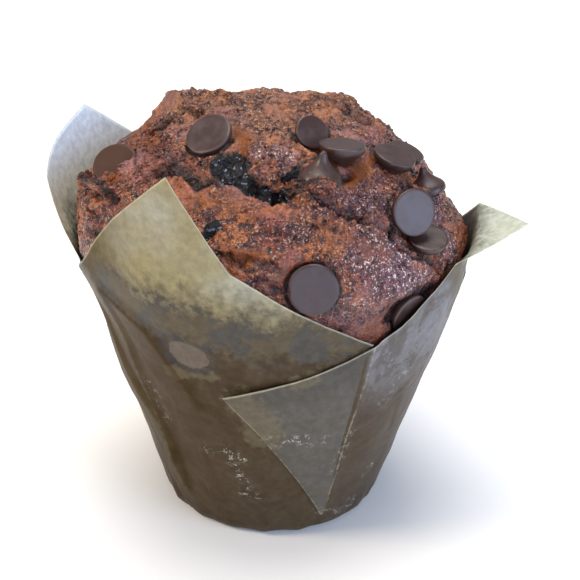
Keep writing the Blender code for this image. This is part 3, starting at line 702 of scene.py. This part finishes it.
def crumbMaterial():
    skin = Skin("chocolateCrumb", crumbLook, **{"Coat Roughness": 0.09})
    stretch, times, most = skin.stretch, skin.times, skin.most
    broad, patch, fine, grit, dust, calm, shade, glint = skin.grains()
    recessShade, melt, caramel, moistSheen = (skin.mark(name) for name in ("recessShade", "melt", "caramel", "moistSheen"))
    height = addNode(skin.tree, "ShaderNodeSeparateXYZ", {0: skin.place}).outputs["Z"]
    calm = most(caramel, times(stretch(calm, 0.46, 0.60), 0.8))  # smoother patches of crust
    skin.colour = skin.blend(stretch(fine, 0.39, 0.56), "deep", "red")
    toOrange = times(stretch(patch, 0.42, 0.60), stretch(fine, 0.38, 0.58))
    skin.cover(most(toOrange, times(calm, stretch(broad, 0.40, 0.55, 0.15, 0.7))), "orange")
    # plum tone on moist crust: partly the crust's own colour, partly a painted purple sheen
    skin.cover(times(most(moistSheen, stretch(broad, 0.50, 0.72)), 0.62), "plumSheen")
    skin.cover(times(stretch(height, 0.084, 0.090), stretch(fine, 0.40, 0.60, 0, 0.55)), "tan")
    low = stretch(height, 0.067, 0.059, 0, 0.5)
    skin.cover(most(stretch(shade, 0.50, 0.36, 0, 0.5), low), "deep")
    # pores and recesses painted near-black: painted shade in holes, cracks and the gaps round the chips
    pores = times(stretch(grit, 0.465, 0.375, 0, 0.93), stretch(calm, 0, 0.8, 1, 0.2))
    skin.cover(most(pores, stretch(recessShade, 0.15, 0.75, 0, 0.93)), "holeShade")
    # painted sparkles: tiny golden and pale highlights standing in for glints on the wet crust
    paintedSparkles = times(stretch(dust, 0.55, 0.61), stretch(grit, 0.43, 0.55),
                   stretch(skin.sums("SUBTRACT", moistSheen, calm), -0.7, 1, 0.12, 1, soft=False),
                   stretch(most(recessShade, low), 0, 0.5, 1, 0.15))
    skin.cover(paintedSparkles, skin.blend(stretch(moistSheen, 0.1, 0.6), "goldenSparkle", "pale"))
    skin.cover(times(caramel, stretch(fine, 0.25, 0.50, 0.3, 0.9)), "caramel")
    glaze = stretch(skin.plus(melt, times(patch, 0.35)), 0.50, 0.72)
    skin.cover(glaze, "melt")
    skin.cover(times(stretch(glint, 0.62, 0.67), times(glaze, 0.42)), "glint")
    wet = most(glaze, most(times(moistSheen, 0.6), times(calm, 0.7)))
    skin.relief(patch, 1.6, 0.6)
    skin.relief(fine, 1.7, stretch(calm, 0, 1, 1, 0.5))
    skin.relief(grit, 1.0, stretch(calm, 0, 1, 1, 0.35))
    skin.relief(dust, 0.3, 0.8)
    return skin.finish(**{
        "Roughness": stretch(wet, 0, 1, stretch(fine, 0.35, 0.7, 0.60, 0.36), 0.12, soft=False),
        "Specular IOR Level": stretch(caramel, 0, 1, 0.28, 0.10),
        "Coat Weight": stretch(most(glaze, caramel), 0, 1, 0.65, 0.25, soft=False), "Coat Normal": skin.normal})


crumb = crumbMaterial()
cakePiece = makeCake(crumb)
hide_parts("muffin_cake")
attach(cakePiece, "root")
print("cake made:", len(cakePiece.data.polygons), "faces")


# loose crumbs that stand on the crust
crumbs = {"perSquareMetre": 1600000.0, "smallest": 0.3, "largest": 1.0, "seed": 4, "size": 0.60, "above": 0.066}


def makeNugget():
    nugget = bmesh.new()
    bmesh.ops.create_icosphere(nugget, subdivisions=1, radius=crumbs["size"] * mm)
    place = np.array([vert.co[:] for vert in nugget.verts]) / mm
    for vert, lump in zip(nugget.verts, lumps(place, 0.6, 3)):
        vert.co *= 1 + 0.3 * lump
        vert.co.z *= 0.75
    mesh = bpy.data.meshes.new("crumbNugget")
    nugget.to_mesh(mesh)
    nugget.free()
    return bpy.data.objects.new("crumbNugget", mesh)


def scatterCrumbs(ground, material):
    nugget = makeNugget()
    tree = bpy.data.node_groups.new("crumbScatter", "GeometryNodeTree")
    for name, kind in (("Geometry", "Geometry"), ("Density", "Float"), ("Smallest", "Float"), ("Largest", "Float"),
                       ("Seed", "Int")):
        tree.interface.new_socket(name, in_out="INPUT", socket_type="NodeSocket" + kind)
    tree.interface.new_socket("Geometry", in_out="OUTPUT", socket_type="NodeSocketGeometry")
    start, end = addNode(tree, "NodeGroupInput").outputs, addNode(tree, "NodeGroupOutput")
    knobs = addNode(tree, "GeometryNodeInputNamedAttribute", {"Name": "knobs"}, data_type="FLOAT")
    share = addNode(tree, "ShaderNodeMath", {0: knobs.outputs["Attribute"], 1: start["Density"]}, operation="MULTIPLY")
    height = addNode(tree, "ShaderNodeSeparateXYZ", {0: addNode(tree, "GeometryNodeInputPosition").outputs[0]})
    shown = addNode(tree, "ShaderNodeMath", {0: height.outputs["Z"], 1: crumbs["above"]}, operation="GREATER_THAN")
    share = addNode(tree, "ShaderNodeMath", {0: share.outputs[0], 1: shown.outputs[0]}, operation="MULTIPLY")
    spread = addNode(tree, "GeometryNodeDistributePointsOnFaces", {
        "Mesh": start["Geometry"], "Density": share.outputs[0], "Seed": start["Seed"]})
    size = addNode(tree, "FunctionNodeRandomValue", {
        2: start["Smallest"], 3: start["Largest"], "Seed": start["Seed"]}, data_type="FLOAT")
    turn = addNode(tree, "FunctionNodeRandomValue", {0: (0, 0, 0), 1: (6.28, 6.28, 6.28)}, data_type="FLOAT_VECTOR")
    shape = addNode(tree, "GeometryNodeObjectInfo", {"Object": nugget})
    placed = addNode(tree, "GeometryNodeInstanceOnPoints", {
        "Points": spread.outputs["Points"], "Instance": shape.outputs["Geometry"], "Rotation": turn.outputs[0],
        "Scale": size.outputs[1]})
    real = addNode(tree, "GeometryNodeRealizeInstances", {"Geometry": placed.outputs[0]})
    painted = addNode(tree, "GeometryNodeSetMaterial", {"Geometry": real.outputs[0], "Material": material})
    tree.links.new(painted.outputs[0], end.inputs[0])
    maker = addObject("crumbMaker", ground.data)
    nodes = maker.modifiers.new("crumbScatter", "NODES")
    nodes.node_group = tree
    values = {"Density": crumbs["perSquareMetre"], "Smallest": crumbs["smallest"], "Largest": crumbs["largest"],
              "Seed": crumbs["seed"]}
    for item in tree.interface.items_tree:
        if item.item_type == "SOCKET" and item.in_out == "INPUT" and item.name in values:
            nodes[item.identifier] = values[item.name]
    mesh = finalMesh(maker)
    bpy.data.objects.remove(maker)
    bpy.data.objects.remove(nugget)
    mesh.name = "crust_crumbs"
    mesh.shade_smooth()
    return addObject("crust_crumbs", mesh)


crumbPiece = scatterCrumbs(cakePiece, crumb)
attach(crumbPiece, "root")
print("loose crumbs made:", len(crumbPiece.data.polygons), "faces")


chocolateLook = {"dark": (0.033, 0.013, 0.011), "bloom": (0.053, 0.029, 0.028), "matte": (0.058, 0.026, 0.017),
                 "grains": {"cloud": (3.2, 3, 0.6), "fine": (0.35, 3)}}


def chocolateMaterial():
    skin = Skin("chipChocolate", chocolateLook, **{"Coat Weight": 0.10, "Coat Roughness": 0.28})
    cloud, fine = skin.grains()
    matte = skin.mark("matte")
    bloom = skin.plus(skin.stretch(cloud, 0.38, 0.68, 0, 0.75), skin.times(skin.mark("edge"), 0.8))
    skin.colour = skin.blend(bloom, "dark", "bloom")
    skin.cover(matte, "matte")
    skin.relief(cloud, 0.25, 0.35)
    skin.relief(fine, 0.02, 0.5)
    return skin.finish(**{"Roughness": skin.stretch(cloud, 0.35, 0.7, 0.34, 0.46),
                          "Specular IOR Level": skin.stretch(matte, 0, 1, 0.50, 0.12)})


def makeChip(name, chip, material, number):
    outline, sides = np.array(drop["outline"]) * chip["size"], drop["sides"]
    angle = np.linspace(0, 2 * math.pi, sides, endpoint=False)
    ring = np.stack([np.cos(angle), np.sin(angle), np.full(sides, number * 3.7)], 1)
    wobble = 1 + 0.018 * lumps(ring * 1.3 + 5, 1.0, 40 + number) + 0.008 * lumps(ring * 3.1, 1.0, 50 + number)
    rows = []
    for radius, height in outline:
        aside = 0.35 * (height / drop["tip"]) ** 2
        rows.append(np.stack([radius * wobble * np.cos(angle) + aside * math.cos(number * 2.1),
                              radius * wobble * np.sin(angle) + aside * math.sin(number * 2.1),
                              np.full(sides, height)], 1))
    tip = (rows[-1][:, 0].mean(), rows[-1][:, 1].mean(), drop["tip"] * chip["size"])
    points = np.concatenate(rows + [[(0, 0, 0.05), tip]])
    points += 0.05 * drift(points + number * 9, 1.8, 55)
    radius, height = np.repeat(outline, sides, axis=0).T
    edge = np.append(bell(radius / chip["size"] - drop["edge"], 0.12) * (height < 0.4), [0, 0])
    if "nick" in chip:
        away = np.linalg.norm(points - np.array(chip["nick"]), axis=1)
        points[:, :2] *= (1 - 0.10 * bell(away, 1.1))[:, None]
    centre, turn = chipFrame(chip)
    return makePiece(name.replace("chip_", "chip_detail_"), points @ turn.T + centre,
                     closedFaces(len(outline), sides), material,
                     {"edge": edge, "matte": np.full(len(edge), chip.get("matte", 0.0))})


chocolate = chocolateMaterial()
for number, (name, chip) in enumerate(chips.items()):
    piece = makeChip(name, chip, chocolate, number)
    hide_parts(name)
    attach(piece, "root")
print("chips made:", len(chips))


def paperPoint(azimuth, slant, outside):  # on the cup's wall, or past the line where a petal's tip bends outwards
    points = conePoint(azimuth, slant, outside)
    for tip in wrapper["bentTips"]:
        (first, low), (last, high) = tip["from"], tip["to"]
        share = (azimuth - first) / (last - first)
        bend = low + (high - low) * share
        soft = np.clip(0.45 * (rimSlant(azimuth) - bend), 0.01, 2.6)
        away = np.array(facing(tip["outward"], tip["rise"]))
        under = np.array(facing(tip["outward"], tip["rise"] - 90))
        hinge = conePoint(azimuth, bend, 0 * outside)
        beyond = slant - bend
        straight = hinge + beyond[..., None] * away + outside[..., None] * under
        t = np.clip((beyond + soft) / (2 * soft), 0, 1)[..., None]
        lowEnd = conePoint(azimuth, bend - soft, outside)
        middle = hinge + outside[..., None] * under * 0.5 + 0.5 * (conePoint(azimuth, bend, outside) - hinge)
        highEnd = hinge + soft[..., None] * away + outside[..., None] * under
        curved = (1 - t) ** 2 * lowEnd + 2 * t * (1 - t) * middle + t ** 2 * highEnd
        inside = (share > 0) & (share < 1)
        points = np.where((inside & (beyond > soft))[..., None], straight, points)
        points = np.where((inside & (np.abs(beyond) <= soft))[..., None], curved, points)
    return points


def pleatTop(pleat, share):
    knots = [pleat["corner"], pleat["middle"], (pleat["notch"][0], float(rimSlant(pleat["notch"][0])))]
    return (np.interp(share, (0, 0.55, 1), [knot[k] for knot in knots]) for k in (0, 1))


def petalColumns(before, pleat, turn, rise, lift):  # the wall from one pleat's fold to the next one's
    left = (before["apex"][0] - turn, before["notch"][0] - turn)
    right = (pleat["apex"][0], pleat["notch"][0])
    corners = [c[0] + k for c in wrapper["rim"] for k in (0, 360) if left[1] + 0.6 < c[0] + k < right[1] - 0.6]
    regular = np.arange(left[1], right[1], wrapper["columnStep"])
    regular = [a for a in regular if all(abs(a - c) > 0.45 for c in corners)]
    tops = np.array(sorted(corners + list(regular) + [right[1]]))
    share = ((tops - left[1]) / (right[1] - left[1]))[None, :]
    widening = (left[1] - left[0]) * (1 - share) + (right[1] - right[0]) * share
    azimuth = left[0] + (right[0] - left[0]) * share + rise * widening
    slant = pleat["apex"][1] + rise * (rimSlant(tops)[None, :] - pleat["apex"][1])
    beside = np.radians(azimuth - (left[0] + rise * (left[1] - left[0]))) * (cup["baseRadius"] + 0.27 * slant)
    outside = 2 * wrapper["layerGap"] * bell(beside, 1.3) * lift
    return azimuth, slant, outside, np.zeros_like(slant), rimSlant(tops)[None, :] - slant, np.abs(beside)


def pleatColumns(pleat, layer, rise, lift):  # the sheet folded back under the flap, then the flap
    outer = layer == 2
    count = wrapper["pleatColumns"]
    shares = np.linspace(0, 1, count)[:-1] if outer else np.linspace(1, 0, count)[1:]
    topAzimuth, topSlant = pleatTop(pleat, shares)
    if not outer:
        topSlant = topSlant - 0.5 * (1 - shares)
    azimuth = pleat["apex"][0] + rise * (topAzimuth[None, :] - pleat["apex"][0])
    slant = pleat["apex"][1] + rise * (topSlant[None, :] - pleat["apex"][1])
    loose = bell(shares[None, :], 0.30) * ease(0.72, 1.0, rise) * pleat["loose"]
    outside = (wrapper["layerGap"] * layer + loose * (1.0 if outer else 0.6)) * lift
    rim = fold = np.full_like(slant, 9)
    if outer:
        width = rise * abs(pleat["notch"][0] - pleat["corner"][0]) * wrapper["degree"]
        rim, fold = topSlant[None, :] - slant, np.minimum(shares, 1 - shares)[None, :] * width
    return azimuth, slant, outside, np.full_like(slant, layer), rim, fold


def sheetGrid():  # azimuth, slant, height off the wall, layer, and distances to the rim and to a fold
    rise = np.linspace(0, 1, wrapper["rows"])[:, None]
    lift = ease(0, 0.12, rise)
    columns = []
    for number, pleat in enumerate(wrapper["pleats"]):
        before = wrapper["pleats"][number - 1]
        columns.append(petalColumns(before, pleat, 360 if number == 0 else 0, rise, lift))
        columns += [pleatColumns(pleat, layer, rise, lift) for layer in (1, 2)]
    grid = [np.concatenate([part[k] for part in columns], 1) for k in range(6)]
    floor = np.array([-22, -17, -11, -6.5, -4, -2.8, -1.9, -1.0, 0, 1.2, 2.6])[:, None]
    flat = 0 * floor + 0 * grid[0][:1]
    under = [grid[0][:1] + flat, floor + flat, flat, flat, flat + 9, flat + 9]
    return [np.concatenate(pair) for pair in zip(under, grid)]


def wallPath(path):  # a line of (azimuth, slant) in millimetres on the flattened wall
    return [(azimuth * wrapper["degree"], slant, 0.0) for azimuth, slant in path]


def wallMarks(flat, lines):
    return paintMarks(flat, [(wallPath(path), reach, strength) for path, reach, strength in lines])


def creasePaper(azimuth, slant, place, flat):  # small dents and ridges, in millimetres off the sheet
    rise = 0.30 * layered(place, 13.0, 120, 2) * ease(4, 14, slant)
    first, second, number = scattered(place * np.array([1, 1, 0.6]), 8.0, 130)
    rise += 0.16 * bell(second - first, 0.7) * ease(4, 12, slant) * (lumps(place, 20.0, 131) + 0.4)
    flutes = np.stack([azimuth / 9.0, slant / 18, 0 * slant], 1)
    rise += bell(slant - 3.0, 4.5) * 0.5 * np.clip(lumps(flutes, 1.0, 140), -0.4, 1)
    sides = {}
    upright = np.zeros_like(flat) + (0, 0, 1)
    for crease in wrapper["creases"]:
        away, side, share = toPath(flat, wallPath(crease["path"]), upright)
        fade = ease(0, 0.15, share) * ease(0, 0.15, 1 - share) * bell(away, 7)
        rise += crease["step"] * (0.5 * np.tanh(side * away / 0.7) + 0.35 * bell(away, 0.9)) * fade
        if "mark" in crease:
            sides[crease["mark"]] = np.clip(side * away, -9, 9)
            sides[crease["mark"] + "Share"] = fade
    for (middle, height), reach, out in wrapper["bulges"]:
        rise += out * bell(np.hypot(flat[:, 0] - middle * wrapper["degree"], flat[:, 1] - height), reach)
    return rise, sides


def makeWrapper(material):
    grid = sheetGrid()
    shape = grid[0].shape
    points = paperPoint(*grid[:3]).reshape(-1, 3)
    off = paperPoint(grid[0], grid[1], grid[2] + 1.0).reshape(-1, 3) - points
    off /= np.linalg.norm(off, axis=1)[:, None] + 1e-9
    azimuth, slant, outside, layer, rim, fold = (part.ravel() for part in grid)
    turned = (azimuth + 180) % 360 - 180
    flat = np.stack([turned * wrapper["degree"], slant, 0 * slant], 1)
    rise, sides = creasePaper(azimuth, slant, conePoint(azimuth, slant, 0 * slant), flat)
    points += rise[:, None] * off
    points[:, 2] = np.maximum(points[:, 2], 0.0)
    points = np.concatenate([points, [(0, 0, 0)]])
    faces = gridFaces(*shape) + [(len(points) - 1, (k + 1) % shape[1], k) for k in range(shape[1])]
    under = wrapper["chipUnder"]
    marks = {"dry": slant - np.interp(turned, *zip(*wrapper["greased"])), "layer": layer, "slant": slant,
             "azimuth": turned, "rim": rim, "fold": fold, "crinkleGlint": wallMarks(flat, wrapper["crinkleGlints"]),
             "tan": wallMarks(flat, wrapper["tanPatches"]), **sides,
             "chipUnder": np.hypot((turned - under["azimuth"]) * wrapper["degree"],
                                   (slant - under["slant"]) * under["squash"])}
    marks = {key: np.append(values, values[0]) for key, values in marks.items()}
    piece = makePiece("tulip_wrapper_sheet", points, faces, material, marks, weld=0.002)
    solid = piece.modifiers.new("paper", "SOLIDIFY")
    solid.thickness, solid.offset = wrapper["paper"] * mm, 0.0
    mesh = finalMesh(piece)
    piece.modifiers.clear()
    piece.data = mesh
    return piece


paperLook = {
    "dry": (0.262, 0.222, 0.118), "dryCurlShade": (0.100, 0.071, 0.023), "dryCool": (0.56, 0.63, 0.70),
    "dryBackLit": (0.70, 0.79, 0.90), "dryCream": (0.45, 0.48, 0.41), "dryLow": (0.52, 0.49, 0.38),
    "shadedOlive": (0.042, 0.021, 0.003), "brown": (0.054, 0.034, 0.017), "umber": (0.062, 0.043, 0.028),
    "oliveFlap": (0.054, 0.033, 0.006), "grey": (0.092, 0.083, 0.070),
    "windowLitSlate": (0.168, 0.162, 0.170), "stain": (0.088, 0.068, 0.042), "ring": (0.040, 0.035, 0.033),
    # edge: painted highlight along the rims and folds
    "damp": (0.060, 0.056, 0.052), "tan": (0.130, 0.105, 0.060), "edge": (0.50, 0.46, 0.34),
    "underChip": (0.125, 0.098, 0.076), "crinkleGlint": (0.62, 0.60, 0.54),
    "grains": {"cloud": (22, 3), "blotch": (6.5, 4, 0.6, 0.6), "fleck": (1.6, 4, 0.6), "fibre": (0.35, 2),
               "smear": (9.0, 6, 0.72, 0.3), "hair": (3.4, 5, 0.7, 0.5)},
    # how dark the painted shade on the upper side of each crease is, and how far that reaches
    "creases": {"creaseFrontShade": (0.62, 9.0), "creaseLeftShade": (0.55, 3.5)},
}


def paperMaterial():
    skin = Skin("greasedParchment", paperLook, **{"Specular IOR Level": 0.09})
    stretch, times, plus, blend, mark = skin.stretch, skin.times, skin.plus, skin.blend, skin.mark
    cloud, blotch, fleck, fibre, smear, hair = skin.grains()
    slant, turned = mark("slant"), mark("azimuth")
    upper = plus(slant, times(blotch, 24))
    # greased wall tone by azimuth: partly the grease's own colour, partly painted shade on the left and painted window
    # light as slate blue-grey on the right
    wetTone = blend(stretch(turned, -56, -8), "shadedOlive", "brown")
    wetTone = blend(stretch(turned, 22, 34), wetTone, "umber")
    windowLitSlate = times(stretch(turned, 25, 28), stretch(upper, 42, 66), stretch(smear, 0.46, 0.51, 0.45, 1))
    wetTone = blend(windowLitSlate, wetTone, "windowLitSlate")
    flapTone = blend(stretch(upper, 52, 60, 0, 0.55), "grey", "damp")
    flapTone = blend(stretch(turned, -20, -40), flapTone, "oliveFlap")
    wetTone = blend(times(stretch(mark("layer"), 1.4, 1.6), 0.95), wetTone, flapTone)
    wetTone = blend(stretch(blotch, 0.36, 0.62, 0, 0.28), wetTone, "stain")
    dryTone = blend(stretch(cloud, 0.40, 0.62, 0, 0.20), "dry", "dryCool")
    # the front petal's dry paper darker to the left: painted shade where it curls away from the light
    dryTone = blend(stretch(turned, -31, -54), dryTone, "dryCurlShade")
    # the back-left petal paler and bluer towards its tip: painted light
    backPetalLitTone = blend(stretch(slant, 70, 84), "dryLow", "dryBackLit")
    dryTone = blend(stretch(turned, -74, -80), dryTone, backPetalLitTone)
    dryTone = blend(stretch(turned, 40, 56), dryTone, "dryCream")
    spread = skin.sums("SUBTRACT", fleck, 0.5)
    edge = plus(mark("dry"), times(skin.sums("SUBTRACT", blotch, 0.5), 13), times(spread, 8))
    between = blend(stretch(edge, -12, -6), wetTone, "stain")  # half greased
    skin.colour = blend(stretch(edge, -3, 8), between, dryTone)
    band = times(stretch(edge, -13, -8), stretch(edge, 1.5, -1))
    skin.cover(times(band, stretch(smear, 0.485, 0.515, 0, 0.75)), "damp")
    skin.cover(stretch(plus(mark("tan"), plus(smear, fleck)), 1.40, 1.70, 0, 0.55), "tan")
    near = plus(mark("chipUnder"), times(spread, 2.6))
    ring = times(stretch(near, 3.8, 4.3), stretch(near, 6.6, 5.2), stretch(smear, 0.46, 0.52, 0.25, 0.85))
    skin.cover(ring, "ring")
    skin.cover(stretch(near, 4.3, 3.8, 0, 0.85), "underChip")
    # painted shade beside the creases
    for line, (strength, reach) in paperLook["creases"].items():
        beside = mark(line)
        skin.cover(times(stretch(beside, -0.2, 0.2), stretch(beside, reach, 0.6, 0, strength),
                         stretch(mark(line + "Share"), 0.02, 0.35)), "shadedOlive")
    # painted highlights along fine crinkles
    hair = skin.sums("ABSOLUTE", skin.sums("SUBTRACT", hair, 0.5), 0)
    skin.cover(times(stretch(hair, 0.014, 0.004), mark("crinkleGlint"), stretch(fleck, 0.47, 0.53)), "crinkleGlint")
    # painted highlight along the flap's folds
    skin.cover(times(stretch(mark("fold"), 0.42, 0.05), stretch(fleck, 0.40, 0.56, 0.06, 0.24),
                     stretch(turned, -40, -25, 0.25, 1)), "edge")
    # painted highlight along the top edges of the paper
    skin.cover(stretch(mark("rim"), 0.55, 0, 0, 0.6), "edge")
    mottled = stretch(fleck, 0.3, 0.7, 0.86, 1.12)
    tint = addNode(skin.tree, "ShaderNodeCombineColor", {0: mottled, 1: mottled, 2: mottled}).outputs[0]
    skin.cover(1.0, tint, "MULTIPLY")
    skin.relief(blotch, 0.5, 0.35)
    skin.relief(fleck, 0.12, 0.5)
    skin.relief(fibre, 0.02, 0.4)
    return skin.finish(Roughness=stretch(edge, -4, 4, 0.42, 0.62))


sheetPiece = makeWrapper(paperMaterial())
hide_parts("tulip_wrapper")
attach(sheetPiece, "root")
print("wrapper made:", len(sheetPiece.data.polygons), "faces")
